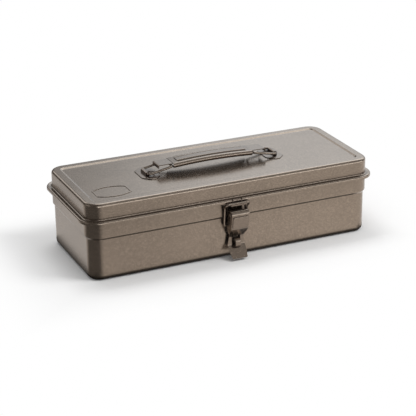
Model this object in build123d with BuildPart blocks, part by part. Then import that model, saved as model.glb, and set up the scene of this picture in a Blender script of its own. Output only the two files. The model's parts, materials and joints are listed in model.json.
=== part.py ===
from build123d import *
import os
from math import acos, asin, atan2, cos, degrees, hypot, radians, sin, tan

os.makedirs("parts", exist_ok=True)

# Steel trunk toolbox, in millimetres. X runs along the long side, the latch is on the -Y side,
# and the origin is the centre of the underside.

# Rim, the widest line of the box, and the heights of the closed box
rim_length = 329.0
rim_depth = 136.0
rim_corner = 20.7
rim_top = 66.0
rim_bottom = 62.6
lid_top = 83.0
sheet = 0.8

# Walls, each given by how far its outside stands in from the rim's outside
lid_wall_inset = 5.6
band_inset = 5.5
body_wall_inset = 7.3
body_bottom_bend = 5.0
step_bottom = 44.3
step_top = 46.9
step_bend = 1.2
step_foot_bend = 1.6
lid_top_bend = 3.2
lid_foot_bend = 2.0
rim_bend = 1.2
flange_rise = 0.7

# Fit of the lid's rim over the body's flange
rim_side_gap = 0.3
rim_rest_gap = 0.4

# Sunk panel and label frame on the lid
panel_border = 9.4
panel_slope = 2.0
panel_sink = 1.0
label_from_left = 42.4
label_from_front = 37.1
label_length = 37.2
label_end_width = 16.7
label_bow = 5.9
bead_width = 1.5
bead_height = 0.5
bead_edge = 0.3
panel_bend = 1.2

# Handle
ring_wire = 2.5
ring_end_gap = 0.34
ring_half_width = 9.6
ring_corner = 2.4
ring_lift = 10.9
ring_axis_x = 73.5
bracket_sheet = 0.8
bracket_gap = 0.25
bracket_length = 20.7
bracket_width = 37.0
bracket_chamfer = 7.5
bracket_outer_x = 81.2
bracket_corner = 3.0
bracket_edge = 0.5
tunnel_clearance = 0.08
tunnel_half_width = 6.8
grip_sheet = 0.8
grip_half_length = 45.0
grip_arch = 1.7
curl_radius = 2.3
curl_y = 8.4
curl_turn = 250
groove_end_margin = 6.0
tongue_length = 16.6
tongue_half_width = 8.0
tongue_lip = 3.2
tongue_gap = 0.65
curl_drop = 2.0
groove_start = 7.0
groove_floor = 6.0
rib_foot = 5.0
rib_side = 3.9
groove_depth = 1.2
rib_height = 0.7
rib_bend = 0.6
tongue_lap = 1.5
lip_bend = 1.5

# Latch: base, lever, bail, catch and padlock staple
latch_sheet = 0.8
base_sheet = 1.0
base_corner = 1.5
base_half_width = 8.6
base_top = 57.5
base_neck = 41.0
base_bottom = 10.2
base_foot_half_width = 6.0
base_step_drop = 0.4
ear_radius = 2.8
ear_top = 46.0
ear_bottom = 41.2
lever_pivot_out = 9.3
lever_pivot_z = 51.0
lever_pin_radius = 1.3
lever_pin_head = 2.0
lever_pin_head_thickness = 0.7
lever_half_width = 9.7
lever_wrap = 4.3
lever_knee_out = 11.1
lever_knee_z = 35.5
knee_bend = 3.0
waist_bend = 2.5
lever_waist_out = 2.0
lever_waist_top = 24.2
lever_waist_bottom = 14.5
lever_waist_half_width = 7.9
lever_taper_top = 30.5
lever_taper_bottom = 24.5
leg_half_width = 9.6
leg_top = 15.5
leg_bottom = 8.0
leg_bend = 6.0
tab_out = 12.4
tab_bottom = 2.6
tab_half_width = 8.0
pad_half_width = 8.6
pad_height = 1.1
pad_edge = 0.8
pad_corner = 1.5
pad_top = 49.8
pad_bottom = 36.8
slot_half_width = 4.6
slot_top = 25.4
slot_bottom = 12.2
slot_corner = 1.8
bail_wire = 2.2
bail_half_width = 12.8
bail_pivot_out = 1.3
bail_pivot_z = 37.3
bail_bend_out = 3.1
bail_bend_z = 56.5
bail_bar_out = 8.1
bail_bar_z = 62.1
bail_pin_end = 8.3
bail_foot_bend = 1.8
bail_side_bend = 4.0
bail_corner_bend = 2.5
flange_lobe = 1.6
flange_tip_out = 3.4
flange_tip_z = 26.0
catch_neck_half_width = 4.6
catch_slit = 1.0
catch_notch_depth = 2.6
catch_hook_half_width = 9.0
catch_lip_top = 62.0
catch_hook_out = 9.85
catch_hook_z = 60.3
catch_neck_z = 62.4
catch_bend = 0.8
staple_sheet = 1.2
staple_half_width = 2.8
staple_top = 22.0
staple_bottom = 13.6
staple_reach = 7.3
staple_foot = 3.1
staple_bend = 2.8
staple_foot_bend = 0.9
side_gap = 0.3
pin_clearance = 0.06
bail_clearance = 0.07

# Rear hinges
hinge_from_end = 64.5
hinge_width = 30.0
hinge_axis_z = 61.5
hinge_sheet = 0.9
hinge_pin_radius = 1.2
hinge_pin_end = 0.4
knuckle_wall = 1.0
lid_knuckle_width = 12.0
knuckle_gap = 0.25
leaf_bend = 1.5
body_leaf_bottom = 48.0
lid_leaf_top = 76.5
lid_leaf_neck_top = 63.8
body_leaf_neck_lap = 0.2

half_length = rim_length / 2
half_depth = rim_depth / 2
half_sheet = sheet / 2
groove_end_x = grip_half_length - groove_end_margin
tongue_end_x = grip_half_length + tongue_length


def wall_path(inset):
    """Closed line round the box at this inset from the rim, from the middle of the front."""
    x = half_length - inset
    y = half_depth - inset
    with BuildLine() as path:
        Polyline((0, -y), (x, -y), (x, y), (-x, y), (-x, -y), (0, -y))
        fillet(path.vertices().filter_by(lambda corner: corner.X != 0), rim_corner - inset)
    return path.wire()


def wall_section(inset):
    """Plane across the front wall: first coordinate outwards from that wall, second is height."""
    return Plane(origin=(0, inset - half_depth, 0), x_dir=(0, -1, 0), z_dir=(-1, 0, 0))


def export(part, name):
    part.label = name
    export_step(part, f"parts/{name}.step")


# Body: one drawn pan with a rounded foot, a step, and a flange that turns outwards at the top
body_path = wall_path(body_wall_inset)
band_out = body_wall_inset - band_inset
skirt_inside = body_wall_inset - sheet
flange_end = skirt_inside - rim_side_gap
lid_flange_underside = rim_top - flange_rise - sheet
body_flange_z = lid_flange_underside - rim_rest_gap - half_sheet
floor_lap = 2.0

with BuildPart() as body_shell:
    with BuildSketch(wall_section(body_wall_inset)):
        with BuildLine():
            FilletPolyline(
                (-body_bottom_bend - floor_lap, half_sheet),
                (-half_sheet, half_sheet),
                (-half_sheet, step_bottom),
                (band_out - half_sheet, step_top),
                (band_out - half_sheet, body_flange_z),
                (flange_end, body_flange_z),
                radius=[body_bottom_bend - half_sheet, step_foot_bend, step_bend, rim_bend],
            )
        trace(line_width=sheet)
    sweep(path=body_path)
    with BuildSketch(Plane.XY):
        floor_inset = body_wall_inset + body_bottom_bend + floor_lap / 2
        RectangleRounded(
            rim_length - 2 * floor_inset, rim_depth - 2 * floor_inset, rim_corner - floor_inset
        )
    extrude(amount=sheet)
export(body_shell.part, "body_shell")

# Lid: sunk panel, rounded top edge, flange and skirt, with a notch for the catch
lid_path = wall_path(lid_wall_inset)
panel_lap = 2.0
panel_top = lid_top - panel_sink

with BuildPart() as lid_shell:
    with BuildSketch(wall_section(lid_wall_inset)):
        with BuildLine():
            FilletPolyline(
                (-panel_border - panel_slope - panel_lap, panel_top - half_sheet),
                (-panel_border - panel_slope, panel_top - half_sheet),
                (-panel_border, lid_top - half_sheet),
                (-half_sheet, lid_top - half_sheet),
                (-half_sheet, rim_top - flange_rise - half_sheet),
                (lid_wall_inset - half_sheet, rim_top - half_sheet),
                (lid_wall_inset - half_sheet, rim_bottom),
                radius=[
                    panel_bend,
                    panel_bend,
                    lid_top_bend - half_sheet,
                    lid_foot_bend - half_sheet,
                    rim_bend,
                ],
            )
        trace(line_width=sheet)
    sweep(path=lid_path)
    with BuildSketch(Plane.XY.offset(panel_top - sheet)):
        panel_inset = lid_wall_inset + panel_border + panel_slope + panel_lap / 2
        RectangleRounded(
            rim_length - 2 * panel_inset, rim_depth - 2 * panel_inset, rim_corner - panel_inset
        )
    extrude(amount=sheet)
    with BuildSketch(Plane.XY.offset(panel_top)):
        with BuildLine():
            label_x = label_from_left - half_length
            label_y = label_from_front - half_depth
            x0 = label_x - label_length / 2
            x1 = label_x + label_length / 2
            y0 = label_y - label_end_width / 2
            y1 = label_y + label_end_width / 2
            Line((x0, y1), (x0, y0))
            ThreePointArc((x0, y0), (label_x, y0 - label_bow), (x1, y0))
            Line((x1, y0), (x1, y1))
            ThreePointArc((x1, y1), (label_x, y1 + label_bow), (x0, y1))
        make_face()
        offset(amount=-bead_width, kind=Kind.INTERSECTION, mode=Mode.SUBTRACT)
    extrude(amount=bead_height)
    bead_top = panel_top + bead_height
    fillet(lid_shell.edges().filter_by_position(Axis.Z, bead_top, bead_top), bead_edge)
    with BuildSketch(Plane.XY.offset(rim_bottom - sheet)):
        with Locations((0, -half_depth)):
            Rectangle(2 * (catch_neck_half_width + catch_slit), 2 * catch_notch_depth)
    extrude(amount=rim_top - rim_bottom + 2 * sheet, mode=Mode.SUBTRACT)
export(lid_shell.part, "lid_shell")

# Handle brackets: chamfered plates welded to the lid, each with a tunnel for its ring
ring_radius = ring_wire / 2
ring_bar_x = grip_half_length + ring_end_gap + ring_radius
ring_reach = (ring_axis_x - ring_bar_x) / cos(radians(ring_lift))
ring_axis_z = panel_top + bracket_sheet + bracket_gap + ring_radius
tunnel_bore = ring_radius + tunnel_clearance
tunnel_outside = tunnel_bore + bracket_sheet


def handle_bracket(side):
    with BuildPart() as bracket:
        with BuildSketch(Plane.XY.offset(panel_top)) as plate:
            with Locations((side * (bracket_outer_x - bracket_length / 2), 0)):
                Rectangle(bracket_length, bracket_width)
            chamfer(plate.vertices(), bracket_chamfer)
            fillet(plate.vertices(), bracket_corner)
        extrude(amount=bracket_sheet)
        fillet(bracket.edges().group_by(Axis.Z)[-1], bracket_edge)
        with BuildSketch(Plane.XZ):
            with Locations((side * ring_axis_x, ring_axis_z)):
                Circle(tunnel_outside)
            with Locations((side * ring_axis_x, panel_top)):
                Rectangle(2 * tunnel_outside, ring_axis_z - panel_top, align=(Align.CENTER, Align.MIN))
        extrude(amount=tunnel_half_width, both=True)
        with BuildSketch(Plane.XZ):
            with Locations((side * ring_axis_x, ring_axis_z)):
                Circle(tunnel_bore)
            with Locations((side * ring_axis_x, panel_top)):
                Rectangle(2 * tunnel_bore, ring_axis_z - panel_top, align=(Align.CENTER, Align.MIN))
        extrude(amount=tunnel_half_width, both=True, mode=Mode.SUBTRACT)
    return bracket.part


# Handle rings: closed wire rectangles that hinge in the tunnels and carry the grip
def handle_ring(side):
    angle = radians(ring_lift)
    inwards = (-side * cos(angle), 0, sin(angle))
    across = (side * sin(angle), 0, cos(angle))
    ring_plane = Plane(origin=(side * ring_axis_x, 0, ring_axis_z), x_dir=inwards, z_dir=across)
    with BuildPart() as ring:
        with BuildLine(ring_plane) as loop:
            Polyline(
                (0, 0),
                (0, ring_half_width),
                (ring_reach, ring_half_width),
                (ring_reach, -ring_half_width),
                (0, -ring_half_width),
                (0, 0),
            )
            fillet(loop.vertices().filter_by(lambda corner: abs(corner.Y) > 1), ring_corner)
        with BuildSketch(Plane(origin=ring_plane.origin, x_dir=inwards, z_dir=(0, 1, 0))):
            Circle(ring_radius)
        sweep(path=loop.wire())
    return ring.part


for side, name in ((-1, "left"), (1, "right")):
    export(handle_bracket(side), f"handle_bracket_{name}")
    export(handle_ring(side), f"handle_ring_{name}")

# Grip: an arched pressing with curled edges and a broad rib, and a flat tongue at each end
ring_bar_z = ring_axis_z + ring_reach * sin(radians(ring_lift))
tongue_z = ring_bar_z + ring_radius + tongue_gap + grip_sheet / 2
curl_end_z = tongue_z - curl_drop
arch_radius = (grip_half_length**2 + grip_arch**2) / (2 * grip_arch)
arch_axis_z = curl_end_z + grip_arch - arch_radius
arch_axis = Axis((0, 0, arch_axis_z), (0, 1, 0))


def grip_rib():
    """Groove, rib and groove of the plate between its two edges."""
    floor = curl_radius - groove_depth
    crown = curl_radius + rib_height
    half = (
        (curl_y, curl_radius),
        (groove_start, curl_radius),
        (groove_floor, floor),
        (rib_foot, floor),
        (rib_side, crown),
    )
    FilletPolyline(*half, *[(-y, z) for y, z in reversed(half)], radius=rib_bend)


def grip_curl():
    """Both long edges, rolled down and under until the sheet has almost closed."""
    for side in (-1, 1):
        CenterArc((side * curl_y, 0), curl_radius, 90, -side * curl_turn)


def arch_plane(x):
    """Plane across the grip at x: first coordinate along Y, second outwards from the arch's axis."""
    angle = asin(x / arch_radius)
    origin = (x, 0, arch_axis_z + arch_radius * cos(angle))
    return Plane(origin=origin, x_dir=(0, 1, 0), z_dir=(cos(angle), 0, -sin(angle)))


def arch_turn(x0, x1):
    return degrees(asin(x1 / arch_radius) - asin(x0 / arch_radius))


with BuildPart() as handle_grip:
    with BuildSketch(arch_plane(0)):
        with BuildLine():
            grip_rib()
        trace(line_width=grip_sheet)
        with BuildLine():
            grip_curl()
        trace(line_width=grip_sheet)
    revolve(axis=arch_axis, revolution_arc=arch_turn(0, groove_end_x))
    with BuildSketch(arch_plane(groove_end_x)):
        with BuildLine():
            Line((-curl_y, curl_radius), (curl_y, curl_radius))
        trace(line_width=grip_sheet)
        with BuildLine():
            grip_curl()
        trace(line_width=grip_sheet)
    revolve(axis=arch_axis, revolution_arc=arch_turn(groove_end_x, grip_half_length))
    with BuildSketch(arch_plane(groove_end_x)):
        with Locations((0, curl_radius)):
            groove_end_height = groove_depth + grip_sheet / 2
            Rectangle(2 * groove_floor + grip_sheet, groove_end_height, align=(Align.CENTER, Align.MAX))
    revolve(axis=arch_axis, revolution_arc=arch_turn(groove_end_x, groove_end_x + grip_sheet))
    with BuildSketch(Plane.XZ):
        with BuildLine():
            FilletPolyline(
                (grip_half_length - tongue_lap, tongue_z),
                (tongue_end_x - grip_sheet / 2, tongue_z),
                (tongue_end_x - grip_sheet / 2, tongue_z - tongue_lip),
                radius=lip_bend - grip_sheet / 2,
            )
        trace(line_width=grip_sheet)
    extrude(amount=tongue_half_width, both=True)
    mirror(about=Plane.YZ)
export(handle_grip.part, "handle_grip")

# Latch base: a plate on the wall that follows its step, with two ears for the lever's pin.
# Latch sections are drawn in the plane across the front wall: first coordinate outwards from
# the band above the step, second is height.
latch_section = wall_section(band_inset)
base_low_out = base_sheet / 2 - band_out
base_offset = (sheet + base_sheet) / 2
lever_pivot = (lever_pivot_out, lever_pivot_z)
bail_pivot = (bail_pivot_out, bail_pivot_z)
ear_out = base_half_width
ear_in = base_half_width - base_sheet


def ear_tangent():
    """Point where the ear's lower edge runs onto its round end."""
    across = lever_pivot_out - base_low_out
    up = lever_pivot_z - ear_bottom
    turn = atan2(up, across) - asin(ear_radius / hypot(across, up))
    return (lever_pivot_out + ear_radius * sin(turn), lever_pivot_z - ear_radius * cos(turn))


with BuildPart() as latch_base:
    with BuildSketch(latch_section):
        with BuildLine():
            FilletPolyline(
                (base_sheet / 2, base_top),
                (base_sheet / 2, step_top - base_step_drop),
                (base_low_out, step_bottom - base_step_drop),
                (base_low_out, base_bottom),
                radius=[step_bend + base_offset, step_foot_bend - base_offset],
            )
        trace(line_width=base_sheet)
    extrude(amount=base_half_width, both=True)
    with BuildSketch(Plane.XZ):
        with Locations((0, (base_top + base_neck) / 2)):
            RectangleRounded(2 * base_half_width, base_top - base_neck, base_corner)
        with Locations((0, base_bottom)):
            Rectangle(2 * base_foot_half_width, base_top - base_bottom, align=(Align.CENTER, Align.MIN))
    extrude(amount=half_depth, mode=Mode.INTERSECT)
    for side in (-1, 1):
        with BuildSketch(latch_section.offset(side * (ear_in + ear_out) / 2)):
            with Locations(lever_pivot):
                Circle(ear_radius)
            with BuildLine():
                Polyline(
                    (base_sheet / 2, ear_top),
                    (lever_pivot_out, lever_pivot_z + side_gap),
                    ear_tangent(),
                    (base_low_out, ear_bottom),
                    close=True,
                )
            make_face()
            with Locations(lever_pivot):
                Circle(lever_pin_radius, mode=Mode.SUBTRACT)
        extrude(amount=base_sheet / 2, both=True)
export(latch_base.part, "latch_base")

with BuildPart() as latch_pin:
    pin_half_length = lever_half_width + side_gap / 2
    with BuildSketch(latch_section):
        with Locations(lever_pivot):
            Circle(lever_pin_radius)
    extrude(amount=pin_half_length, both=True)
    for side in (-1, 1):
        with BuildSketch(latch_section.offset(side * pin_half_length)):
            with Locations(lever_pivot):
                Circle(lever_pin_head)
        extrude(amount=side * lever_pin_head_thickness)
    fillet(
        latch_pin.edges().filter_by(GeomType.CIRCLE).group_by(Axis.X)[0]
        + latch_pin.edges().filter_by(GeomType.CIRCLE).group_by(Axis.X)[-1],
        lever_pin_head_thickness / 2,
    )
export(latch_pin.part, "latch_pin")

# Padlock staple: a bent strap whose feet stand on the latch base
with BuildPart() as padlock_staple:
    foot_out = base_low_out + (base_sheet + staple_sheet) / 2
    with BuildSketch(latch_section):
        with BuildLine():
            FilletPolyline(
                (foot_out, staple_top + staple_foot),
                (foot_out, staple_top),
                (staple_reach, staple_top),
                (staple_reach, staple_bottom),
                (foot_out, staple_bottom),
                (foot_out, staple_bottom - staple_foot),
                radius=[staple_foot_bend, staple_bend, staple_bend, staple_foot_bend],
            )
        trace(line_width=staple_sheet)
    extrude(amount=staple_half_width, both=True)
export(padlock_staple.part, "padlock_staple")

# Latch lever: rolled round its pin at the top, waisted over the staple, with a finger tab
lever_knee = (lever_knee_out, lever_knee_z)
knee_across = lever_knee_out - lever_pivot_out
knee_down = lever_pivot_z - lever_knee_z
lever_lean = atan2(knee_down, knee_across) - acos(lever_wrap / hypot(knee_across, knee_down))
wrap_end = (lever_pivot_out + lever_wrap * cos(lever_lean), lever_pivot_z - lever_wrap * sin(lever_lean))
wrap_radius = lever_wrap + latch_sheet / 2
flange_back = (
    (flange_tip_out, flange_tip_z),
    (bail_pivot_out - flange_lobe, bail_pivot_z),
    (bail_pivot_out - flange_lobe, bail_pivot_z + flange_lobe),
    (lever_pivot_out - wrap_radius, lever_pivot_z),
)


def lever_face_out(z):
    """How far out the middle of the lever's upper sheet stands at this height."""
    return lever_knee_out + (z - lever_knee_z) * tan(lever_lean)


with BuildPart() as latch_lever:
    with BuildSketch(latch_section):
        with BuildLine():
            CenterArc(lever_pivot, lever_wrap, 90, -90 - degrees(lever_lean))
            FilletPolyline(
                wrap_end,
                lever_knee,
                (lever_waist_out, lever_waist_top),
                (lever_waist_out, lever_waist_bottom),
                (tab_out, tab_bottom),
                radius=[knee_bend, waist_bend, waist_bend],
            )
        trace(line_width=latch_sheet)
    extrude(amount=lever_half_width, both=True)
    for side in (-1, 1):
        with BuildSketch(latch_section.offset(side * (lever_half_width - latch_sheet / 2))):
            with Locations(lever_pivot):
                Circle(wrap_radius)
            with Locations(bail_pivot):
                Circle(flange_lobe)
            with BuildLine():
                Polyline(wrap_end, lever_knee, *flange_back, close=True)
            make_face()
        extrude(amount=latch_sheet / 2, both=True)
    pad_middle = (pad_top + pad_bottom) / 2
    pad_plane = Plane(
        origin=(0, band_inset - half_depth - lever_face_out(pad_middle), pad_middle),
        x_dir=(1, 0, 0),
        z_dir=(0, -cos(lever_lean), -sin(lever_lean)),
    )
    with BuildSketch(pad_plane):
        RectangleRounded(2 * pad_half_width, pad_top - pad_bottom, pad_corner)
    extrude(amount=latch_sheet / 2 + pad_height)
    pad_face = latch_lever.faces(Select.LAST).sort_by(Axis(pad_plane.origin, pad_plane.z_dir))[-1]
    fillet(pad_face.edges(), pad_edge)
    with BuildSketch(Plane.XZ) as lever:
        with BuildLine():
            outline = (
                (lever_half_width, base_top),
                (lever_half_width, lever_taper_top),
                (lever_waist_half_width, lever_taper_bottom),
                (leg_half_width, leg_top),
                (leg_half_width, leg_bottom),
                (tab_half_width, tab_bottom),
                (tab_half_width, 0),
            )
            Polyline(*outline, *[(-x, z) for x, z in reversed(outline)], close=True)
        make_face()
        curved = lever.vertices().filter_by(lambda corner: tab_bottom < corner.Y < lever_taper_top)
        fillet(curved, leg_bend)
    extrude(amount=2 * half_depth, mode=Mode.INTERSECT)
    with BuildSketch(Plane.XZ):
        with Locations((0, (slot_top + slot_bottom) / 2)):
            RectangleRounded(2 * slot_half_width, slot_top - slot_bottom, slot_corner)
    extrude(amount=2 * half_depth, mode=Mode.SUBTRACT)
    with BuildSketch(latch_section):
        with Locations(lever_pivot):
            Circle(lever_pin_radius + pin_clearance)
        with Locations(bail_pivot):
            Circle(bail_wire / 2 + bail_clearance)
    extrude(amount=lever_half_width, both=True, mode=Mode.SUBTRACT)
export(latch_lever.part, "latch_lever")

# Latch bail: a bent wire from the lever's two flanges up to the hook on the lid


def latch_point(x, out, z):
    return (x, band_inset - half_depth - out, z)


with BuildPart() as latch_bail:
    with BuildLine() as bail_path:
        bail_bends = [bail_foot_bend, bail_side_bend, bail_corner_bend]
        half = (
            latch_point(bail_pin_end, bail_pivot_out, bail_pivot_z),
            latch_point(bail_half_width, bail_pivot_out, bail_pivot_z),
            latch_point(bail_half_width, bail_bend_out, bail_bend_z),
            latch_point(bail_half_width, bail_bar_out, bail_bar_z),
        )
        FilletPolyline(
            *half,
            *[(-x, y, z) for x, y, z in reversed(half)],
            radius=[*bail_bends, *reversed(bail_bends)],
        )
    with BuildSketch(latch_section.offset(-bail_pin_end)):
        with Locations(bail_pivot):
            Circle(bail_wire / 2)
    sweep(path=bail_path.wire())
export(latch_bail.part, "latch_bail")

# Lid catch: a strip butted into the notch of the lid's rim, turned up into a low hook
with BuildPart() as lid_catch:
    rim_middle_out = band_inset - half_sheet
    notch_out = band_inset - catch_notch_depth
    start_out = notch_out - sheet
    rim_fall = flange_rise / lid_wall_inset
    start_z = rim_top - half_sheet - rim_fall * (rim_middle_out - start_out)
    with BuildSketch(latch_section):
        with BuildLine():
            FilletPolyline(
                (start_out, start_z),
                (rim_middle_out, rim_top - half_sheet),
                (rim_middle_out, catch_hook_z),
                (catch_hook_out, catch_hook_z),
                (catch_hook_out, catch_lip_top),
                radius=[rim_bend, catch_bend, catch_bend],
            )
        trace(line_width=sheet)
    extrude(amount=catch_hook_half_width, both=True)
    with BuildSketch(Plane.XZ):
        Rectangle(2 * catch_neck_half_width, 2 * rim_top)
        Rectangle(2 * catch_hook_half_width, 2 * catch_neck_z)
    extrude(amount=2 * half_depth, mode=Mode.INTERSECT)
    split(bisect_by=Plane.XZ.offset(half_depth - catch_notch_depth))
export(lid_catch.part, "lid_catch")

# Rear hinges: a leaf on the body, a leaf on the lid and a pin, in line with the rim
knuckle_radius = hinge_pin_radius + knuckle_wall + pin_clearance
hinge_x = half_length - hinge_from_end
hinge_axis_y = half_depth + knuckle_radius
half_leaf = hinge_sheet / 2
hinge_half_width = hinge_width / 2
lid_knuckle_half_width = lid_knuckle_width / 2
body_knuckle_start = lid_knuckle_half_width + knuckle_gap


def knuckle(bore):
    with Locations((hinge_axis_y, hinge_axis_z)):
        Circle(knuckle_radius)
        Circle(bore, mode=Mode.SUBTRACT)


def hinge_body_leaf(x):
    leaf_z = hinge_axis_z - knuckle_radius + half_leaf
    leaf_y = half_depth - band_inset + half_leaf
    with BuildPart() as leaf:
        with BuildSketch(Plane.YZ.offset(x)):
            with BuildLine():
                FilletPolyline(
                    (hinge_axis_y, leaf_z), (leaf_y, leaf_z), (leaf_y, body_leaf_bottom), radius=leaf_bend
                )
            trace(line_width=hinge_sheet)
        extrude(amount=hinge_half_width, both=True)
        with BuildSketch(Plane.XY.offset(body_leaf_bottom)):
            with Locations((x, half_depth - body_leaf_neck_lap)):
                Rectangle(
                    2 * body_knuckle_start, 2 * knuckle_radius + half_depth, align=(Align.CENTER, Align.MIN)
                )
        extrude(amount=half_depth, mode=Mode.SUBTRACT)
        for side in (-1, 1):
            with BuildSketch(Plane.YZ.offset(x + side * body_knuckle_start)):
                knuckle(hinge_pin_radius)
            extrude(amount=side * (hinge_half_width - body_knuckle_start))
        with BuildSketch(Plane.YZ.offset(x)):
            with Locations((hinge_axis_y, hinge_axis_z)):
                Circle(hinge_pin_radius)
        extrude(amount=hinge_half_width, both=True, mode=Mode.SUBTRACT)
    return leaf.part


def hinge_lid_leaf(x):
    rim_y = half_depth + half_leaf
    wall_y = half_depth - lid_wall_inset + half_leaf
    flange_z = rim_top + half_leaf
    with BuildPart() as leaf:
        with BuildSketch(Plane.YZ.offset(x)):
            with BuildLine():
                FilletPolyline(
                    (rim_y, hinge_axis_z),
                    (rim_y, flange_z),
                    (wall_y, flange_z),
                    (wall_y, lid_leaf_top),
                    radius=leaf_bend,
                )
            trace(line_width=hinge_sheet)
        extrude(amount=hinge_half_width, both=True)
        with BuildSketch(Plane.XZ.offset(-half_depth - hinge_sheet)):
            for side in (-1, 1):
                with Locations((x + side * lid_knuckle_half_width, hinge_axis_z - half_leaf)):
                    Rectangle(
                        hinge_width,
                        lid_leaf_neck_top - hinge_axis_z + half_leaf,
                        align=(Align.MIN if side > 0 else Align.MAX, Align.MIN),
                    )
        extrude(amount=2 * hinge_sheet, mode=Mode.SUBTRACT)
        with BuildSketch(Plane.YZ.offset(x)):
            knuckle(hinge_pin_radius + pin_clearance)
        extrude(amount=lid_knuckle_half_width, both=True)
    return leaf.part


def hinge_pin(x):
    with BuildPart() as pin:
        with BuildSketch(Plane.YZ.offset(x)):
            with Locations((hinge_axis_y, hinge_axis_z)):
                Circle(hinge_pin_radius)
        extrude(amount=hinge_half_width + hinge_pin_end, both=True)
        fillet(pin.edges().filter_by(GeomType.CIRCLE), hinge_pin_end)
    return pin.part


for side, name in ((-1, "left"), (1, "right")):
    export(hinge_body_leaf(side * hinge_x), f"hinge_body_leaf_{name}")
    export(hinge_lid_leaf(side * hinge_x), f"hinge_lid_leaf_{name}")
    export(hinge_pin(side * hinge_x), f"hinge_pin_{name}")
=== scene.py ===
import json
import math
from collections import namedtuple

import bpy
from mathutils import Matrix, Vector

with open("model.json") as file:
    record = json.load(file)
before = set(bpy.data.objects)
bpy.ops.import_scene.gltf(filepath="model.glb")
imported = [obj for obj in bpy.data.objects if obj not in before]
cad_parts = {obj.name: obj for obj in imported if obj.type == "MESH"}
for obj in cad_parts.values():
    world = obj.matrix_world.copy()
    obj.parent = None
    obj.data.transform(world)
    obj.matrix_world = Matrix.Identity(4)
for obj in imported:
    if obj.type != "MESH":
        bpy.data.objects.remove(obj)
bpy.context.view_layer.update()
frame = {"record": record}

# A smooth step: from out_low at low to out_high at high
Ramp = namedtuple("Ramp", "low high out_low out_high", defaults=(0.0, 1.0))

BLACK = (0.0, 0.0, 0.0, 1.0)
WHITE = (1.0, 1.0, 1.0, 1.0)


def opaque(color):
    return tuple(color) + (1.0,)


class Nodes:
    """Small helper that adds and links shader nodes."""

    def __init__(self, tree):
        self.tree = tree
        tree.nodes.clear()

    def fill(self, socket, value):
        """Link the value if it comes from a node, and otherwise write it."""
        if isinstance(value, bpy.types.NodeSocket):
            self.tree.links.new(value, socket)
        else:
            socket.default_value = value

    def add(self, kind, inputs=None, **settings):
        node = self.tree.nodes.new(kind)
        for name, value in settings.items():
            setattr(node, name, value)
        for name, value in (inputs or {}).items():
            self.fill(node.inputs[name], value)
        return node

    def math(self, operation, a, b=0.0):
        return self.add("ShaderNodeMath", {0: a, 1: b}, operation=operation).outputs[0]

    def product(self, first, *others):
        for other in others:
            first = self.math("MULTIPLY", first, other)
        return first

    def vector(self, operation, a, b=None):
        inputs = {0: a} if b is None else {0: a, 1: b}
        result = "Value" if operation == "DOT_PRODUCT" else "Vector"
        return self.add("ShaderNodeVectorMath", inputs, operation=operation).outputs[result]

    def split(self, vector):
        return self.add("ShaderNodeSeparateXYZ", {"Vector": vector}).outputs

    def noise(self, place, scale, detail):
        inputs = {"Vector": place, "Scale": scale, "Detail": detail}
        return self.add("ShaderNodeTexNoise", inputs).outputs["Fac"]

    def smooth(self, value, ramp):
        inputs = {
            "Value": value,
            "From Min": ramp.low,
            "From Max": ramp.high,
            "To Min": ramp.out_low,
            "To Max": ramp.out_high,
        }
        return self.add("ShaderNodeMapRange", inputs, interpolation_type="SMOOTHSTEP").outputs["Result"]

    def mix_color(self, factor, a, b, blend="MIX"):
        node = self.add("ShaderNodeMix", data_type="RGBA", blend_type=blend)
        for index, value in ((0, factor), (6, a), (7, b)):
            self.fill(node.inputs[index], value)
        return node.outputs[2]

    def mix_shader(self, factor, a, b):
        inputs = {0: factor, 1: a.outputs[0], 2: b.outputs[0]}
        return self.add("ShaderNodeMixShader", inputs)


# Camera, from the perspective of the photograph, in metres, with its sensor in millimetres
IMAGE_WIDTH = 416
FOCAL_PIXELS = 1466.3
SENSOR_WIDTH = 36.0
CAMERA_PLACE = Vector((-0.59119, -1.32565, 0.61746))
CAMERA_FORWARD = Vector((0.37626, 0.84748, -0.37445)).normalized()
CAMERA_ROLL = math.radians(-0.7)
NEAREST_SEEN = 0.05
FARTHEST_SEEN = 50.0


def make_camera():
    data = bpy.data.cameras.new("camera")
    data.sensor_fit = "HORIZONTAL"
    data.sensor_width = SENSOR_WIDTH
    data.lens = FOCAL_PIXELS * SENSOR_WIDTH / IMAGE_WIDTH
    data.clip_start = NEAREST_SEEN
    data.clip_end = FARTHEST_SEEN
    level = CAMERA_FORWARD.cross(Vector((0, 0, 1))).normalized()
    upright = level.cross(CAMERA_FORWARD)
    right = math.cos(CAMERA_ROLL) * level + math.sin(CAMERA_ROLL) * upright
    up = math.cos(CAMERA_ROLL) * upright - math.sin(CAMERA_ROLL) * level
    turn = Matrix((right, up, -CAMERA_FORWARD)).transposed()
    camera = bpy.data.objects.new("camera", data)
    camera.matrix_world = Matrix.Translation(CAMERA_PLACE) @ turn.to_4x4()
    bpy.context.scene.collection.objects.link(camera)
    bpy.context.scene.camera = camera


# World light, as colours and strengths
BACKDROP = 1.0
AMBIENT = 0.75
AMBIENT_COLOR = (0.8, 0.8, 0.8, 1.0)
ROOM = (0.10, 0.10, 0.10, 1.0)

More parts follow.
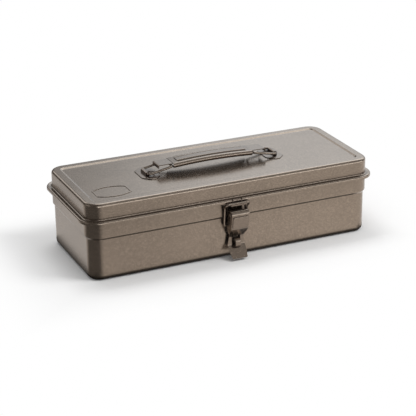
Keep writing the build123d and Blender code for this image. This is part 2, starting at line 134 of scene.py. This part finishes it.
# Softboxes for glossy rays, with azimuths from +X, angles in degrees and the width of the soft border
Softbox = namedtuple("Softbox", "azimuth half_width elevation half_height border color")
SOFTBOXES = (
    Softbox(42, 22, 50, 12, 24, (2.1, 2.3, 2.5)),
    Softbox(38, 27, 16, 12, 8, (0.66, 0.72, 0.78)),
    Softbox(100, 8, 34, 8, 10, (1.5, 1.6, 1.7)),
    Softbox(-62, 40, 2, 4, 5, (3.2, 3.4, 3.6)),
    Softbox(-62, 40, 17, 10, 10, (0.75, 0.8, 0.85)),
    Softbox(-50, 16, 55, 12, 12, (0.45, 0.46, 0.47)),
    Softbox(170, 14, 22, 8, 16, (0.40, 0.42, 0.44)),
)


def softbox_glow(n, softbox, level, elevation):
    """Colour of one softbox, for a direction given by its level part and its elevation."""
    bearing = math.radians(softbox.azimuth)
    centre = Vector((math.cos(bearing), math.sin(bearing), 0.0))
    sideways = n.math("ARCCOSINE", n.vector("DOT_PRODUCT", level, centre))
    upwards = n.math("ABSOLUTE", n.math("SUBTRACT", elevation, math.radians(softbox.elevation)))
    border = math.radians(softbox.border)
    half_width = math.radians(softbox.half_width)
    half_height = math.radians(softbox.half_height)
    across = n.smooth(sideways, Ramp(half_width, half_width + border, 1.0, 0.0))
    along = n.smooth(upwards, Ramp(half_height, half_height + border, 1.0, 0.0))
    return n.mix_color(n.product(across, along), BLACK, opaque(softbox.color))


def make_world():
    """White for the camera, ambient light on rough surfaces, softboxes in a dark room for glossy rays."""
    world = bpy.data.worlds.new("studio")
    bpy.context.scene.world = world
    world.use_nodes = True
    n = Nodes(world.node_tree)
    path = n.add("ShaderNodeLightPath").outputs
    direction = n.add("ShaderNodeTexCoord").outputs["Generated"]
    axes = n.split(direction)
    elevation = n.math("ARCSINE", axes["Z"])
    flat = n.add("ShaderNodeCombineXYZ", {"X": axes["X"], "Y": axes["Y"]}).outputs[0]
    level = n.vector("NORMALIZE", flat)
    total = ROOM
    for softbox in SOFTBOXES:
        total = n.mix_color(1.0, softbox_glow(n, softbox, level, elevation), total, "ADD")
    glossy = n.add("ShaderNodeBackground", {"Color": total})
    ambient = n.add("ShaderNodeBackground", {"Color": AMBIENT_COLOR, "Strength": AMBIENT})
    backdrop = n.add("ShaderNodeBackground", {"Color": WHITE, "Strength": BACKDROP})
    seen = n.math("MAXIMUM", path["Is Camera Ray"], path["Is Transmission Ray"])
    lit = n.mix_shader(path["Is Glossy Ray"], ambient, glossy)
    final = n.mix_shader(seen, lit, backdrop)
    n.add("ShaderNodeOutputWorld", {"Surface": final.outputs[0]})


# Lamps, in metres and watts
LAMP_TARGET = Vector((0, 0, 0.05))
Lamp = namedtuple("Lamp", "name place size power")
LAMPS = (
    Lamp("key", (1.0, -0.8, 1.5), (0.7, 0.7), 16.0),
    Lamp("top", (-0.1, 0.5, 1.6), (0.9, 0.6), 8.0),
)


def make_lamp(lamp):
    data = bpy.data.lights.new(lamp.name, "AREA")
    data.shape = "RECTANGLE"
    data.size, data.size_y = lamp.size
    data.energy = lamp.power
    light = bpy.data.objects.new(lamp.name, data)
    light.location = lamp.place
    aim = LAMP_TARGET - Vector(lamp.place)
    light.rotation_euler = aim.to_track_quat("-Z", "Y").to_euler()
    light.visible_glossy = False
    bpy.context.scene.collection.objects.link(light)


# Floor, in metres
FLOOR_HALF = 6.0
PAPER = (0.86, 0.86, 0.86, 1.0)
BOX_HALF_LENGTH = 0.164
BOX_HALF_DEPTH = 0.068

# The fade to white for the camera, faster in front and behind than at the sides
FADE_ACROSS = 1.25
FADE_ALONG = 1.5
FADE = Ramp(0.0, 0.13)

# The floor's strength for glossy rays, with painted shadow close beside the box and a painted dark wedge
# off the front left corner
BESIDE_BOX = Ramp(-0.004, 0.008, 0.10, 1.0)
LEFT_TO_RIGHT = Ramp(-0.20, 0.16, 0.74, 0.97)
FURTHER_OUT = Ramp(0.06, 0.12, 1.08, 0.94)
DARK_CORNER = (-0.145, -0.050, 0.0)
DARK_BEARING = (-0.90, -0.43, 0.0)
OFF_CORNER = Ramp(0.15, 0.75, 1.0, 0.16)


def make_floor():
    """Pale paper that fades to white for the camera, and a level of its own for glossy rays."""
    mesh = bpy.data.meshes.new("floor")
    corners = [(x * FLOOR_HALF, y * FLOOR_HALF, 0) for x, y in ((-1, -1), (1, -1), (1, 1), (-1, 1))]
    mesh.from_pydata(corners, [], [(0, 1, 2, 3)])
    floor = bpy.data.objects.new("floor", mesh)
    bpy.context.scene.collection.objects.link(floor)
    material = bpy.data.materials.new("floor")
    material.use_nodes = True
    n = Nodes(material.node_tree)
    path = n.add("ShaderNodeLightPath").outputs
    place = n.add("ShaderNodeTexCoord").outputs["Object"]
    axes = n.split(place)
    across = n.math("SUBTRACT", n.math("ABSOLUTE", axes["X"]), BOX_HALF_LENGTH)
    along = n.math("SUBTRACT", n.math("ABSOLUTE", axes["Y"]), BOX_HALF_DEPTH)
    bearing = n.vector("NORMALIZE", n.vector("SUBTRACT", place, DARK_CORNER))
    # Painted shadow beside the box and the dark wedge, seen only in reflections
    mirrored_level = n.product(
        n.smooth(axes["X"], LEFT_TO_RIGHT),
        n.smooth(n.math("MAXIMUM", across, along), BESIDE_BOX),
        n.smooth(n.vector("DOT_PRODUCT", bearing, DARK_BEARING), OFF_CORNER),
        n.smooth(along, FURTHER_OUT),
    )
    mirrored = n.add("ShaderNodeEmission", {"Strength": mirrored_level})
    paper = n.add("ShaderNodeBsdfDiffuse", {"Color": PAPER})
    white = n.add("ShaderNodeEmission", {"Strength": BACKDROP})
    clear = n.math("MAXIMUM", n.product(across, FADE_ACROSS), n.product(along, FADE_ALONG))
    far = n.product(n.smooth(clear, FADE), path["Is Camera Ray"])
    shown = n.mix_shader(far, paper, white)
    surface = n.mix_shader(path["Is Glossy Ray"], shown, mirrored)
    n.add("ShaderNodeOutputMaterial", {"Surface": surface.outputs[0]})
    mesh.materials.append(material)


# Paint, with sizes in metres and texture scales in cells per metre
METALLIC = 0.9
MOTTLE_SCALE = 28.0
MOTTLE_DETAIL = 3.0
MOTTLE_TONE = 0.03
MOTTLE_ROUGHNESS = 0.01
TONE_PATCHES = Ramp(0.35, 0.65)
ROUGHNESS_PATCHES = (0.3, 0.7)
FLAKE_SCALE = 900.0
FLAKE_SHARE = Ramp(0.5, 1.0, 0.0, 0.34)
BRIGHTER = 1.6
# Painted highlight along the edges, found with a bevel normal
EDGE_RADIUS = 0.0004
EDGE_SAMPLES = 6
EDGE_HIGHLIGHT = Ramp(0.98, 0.85, 0.0, 0.3)
# Painted shade in seams and under the fittings, from ambient occlusion
SHADE_REACH = 0.008
SHADE_SAMPLES = 12
PAINTED_SHADE_TONE = Ramp(0.30, 0.85, 0.30, 1.0)
PEEL_SCALE = 700.0
PEEL_DETAIL = 2.0
PEEL_STRENGTH = 0.02
PEEL_DEPTH = 0.0001
COAT_WEIGHT = 0.08
COAT_ROUGHNESS = 0.15


def paint(name, color, roughness):
    """Satin metallic paint: flakes, faint mottling and orange peel, with painted highlights along the
    edges and painted shade in seams and under the fittings.
    """
    material = bpy.data.materials.new(name)
    material.use_nodes = True
    n = Nodes(material.node_tree)
    place = n.add("ShaderNodeTexCoord").outputs["Object"]

    dark = opaque(channel * (1.0 - MOTTLE_TONE) for channel in color)
    light = opaque(channel * (1.0 + MOTTLE_TONE) for channel in color)
    bright = opaque(min(1.0, channel * BRIGHTER) for channel in color)
    mottle = n.noise(place, MOTTLE_SCALE, MOTTLE_DETAIL)
    tone = n.mix_color(n.smooth(mottle, TONE_PATCHES), dark, light)
    roughness_ramp = Ramp(*ROUGHNESS_PATCHES, roughness - MOTTLE_ROUGHNESS, roughness + MOTTLE_ROUGHNESS)

    flake = n.add("ShaderNodeTexVoronoi", {"Vector": place, "Scale": FLAKE_SCALE}).outputs["Color"]
    flake_value = n.add("ShaderNodeSeparateColor", {"Color": flake}).outputs["Red"]
    flaked = n.mix_color(n.smooth(flake_value, FLAKE_SHARE), tone, bright)

    # The rounded normal leaves the true one only close to an edge, which marks where the colour is
    # lightened as a painted highlight
    rounded = n.add("ShaderNodeBevel", {"Radius": EDGE_RADIUS}, samples=EDGE_SAMPLES).outputs["Normal"]
    true_normal = n.add("ShaderNodeNewGeometry").outputs["Normal"]
    edge_highlight = n.smooth(n.vector("DOT_PRODUCT", rounded, true_normal), EDGE_HIGHLIGHT)
    highlighted = n.mix_color(edge_highlight, flaked, bright)

    # Painted shade: seams and the paint close under the fittings are darkened from ambient occlusion
    occlusion = n.add("ShaderNodeAmbientOcclusion", {"Distance": SHADE_REACH}, samples=SHADE_SAMPLES)
    painted_shade = n.mix_color(1.0, highlighted, n.smooth(occlusion.outputs["AO"], PAINTED_SHADE_TONE), "MULTIPLY")

    peel = n.noise(place, PEEL_SCALE, PEEL_DETAIL)
    bump_inputs = {"Strength": PEEL_STRENGTH, "Distance": PEEL_DEPTH, "Height": peel}
    bump = n.add("ShaderNodeBump", bump_inputs).outputs["Normal"]
    shader = n.add(
        "ShaderNodeBsdfPrincipled",
        {
            "Base Color": painted_shade,
            "Metallic": METALLIC,
            "Roughness": n.smooth(mottle, roughness_ramp),
            "Coat Weight": COAT_WEIGHT,
            "Coat Roughness": COAT_ROUGHNESS,
            "Normal": bump,
        },
    )
    n.add("ShaderNodeOutputMaterial", {"Surface": shader.outputs["BSDF"]})
    return material


make_camera()
make_world()
make_floor()
for lamp in LAMPS:
    make_lamp(lamp)

# The fittings and wires are a little darker and glossier than the shells
paints = {
    "box_paint": paint("box_paint", (0.25, 0.195, 0.15), 0.21),
    "fitting_paint": paint("fitting_paint", (0.20, 0.155, 0.12), 0.19),
    "wire_paint": paint("wire_paint", (0.22, 0.172, 0.133), 0.17),
}
slots = {part["node"]: part["material_slot"] for part in frame["record"]["subparts"]}
for name, slot in slots.items():
    node = bpy.data.objects[name]
    if not node.material_slots:
        node.data.materials.append(None)
    for material_slot in node.material_slots:
        material_slot.material = paints[slot]

scene = bpy.context.scene
scene.view_settings.view_transform = "Standard"
